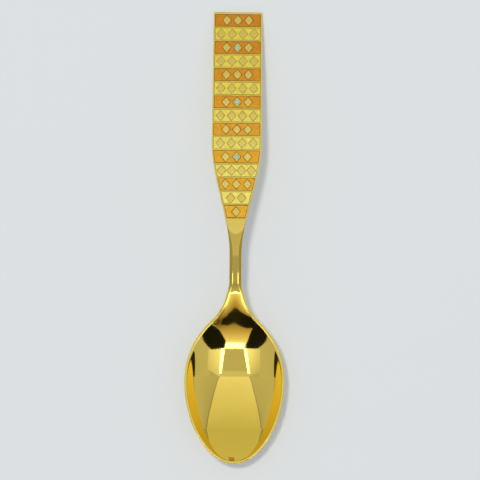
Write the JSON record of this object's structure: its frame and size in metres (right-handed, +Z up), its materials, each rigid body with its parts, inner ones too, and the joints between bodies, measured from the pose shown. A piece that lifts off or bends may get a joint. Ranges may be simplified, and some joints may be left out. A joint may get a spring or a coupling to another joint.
{
  "type": "teaspoon",
  "caption": "Gilded teaspoon lying bowl up: egg-shaped bowl, slender stem and a broad square-ended handle inlaid with orange and yellow enamel bands and gilt lozenges",
  "frame": {"origin": "under the middle of the spoon's box, on the table it lies on", "axes": "+Y along the spoon towards the handle end, +Z up out of the bowl, +X to the right with the handle pointing away"},
  "size_m": [0.0342, 0.155, 0.0159],
  "materials": {
    "gilt_silver": "polished",
    "orange_enamel": "gloss",
    "yellow_enamel": "gloss",
    "turquoise_enamel": "gloss"
  },
  "bodies": {
    "root": {"spoon_blank": "gilt_silver", "enamel_band_01": "orange_enamel", "enamel_band_02": "yellow_enamel", "enamel_band_03": "orange_enamel", "enamel_band_04": "yellow_enamel", "enamel_band_05": "orange_enamel", "enamel_band_06": "yellow_enamel", "enamel_band_07": "orange_enamel", "enamel_band_08": "yellow_enamel", "enamel_band_09": "orange_enamel", "enamel_band_10": "yellow_enamel", "enamel_band_11": "orange_enamel", "enamel_band_12": "yellow_enamel", "enamel_band_13": "orange_enamel", "enamel_band_14": "yellow_enamel", "enamel_band_15": "orange_enamel", "turquoise_lozenge_1": "turquoise_enamel", "turquoise_lozenge_2": "turquoise_enamel", "turquoise_lozenge_3": "turquoise_enamel"}
  },
  "joints": []
}
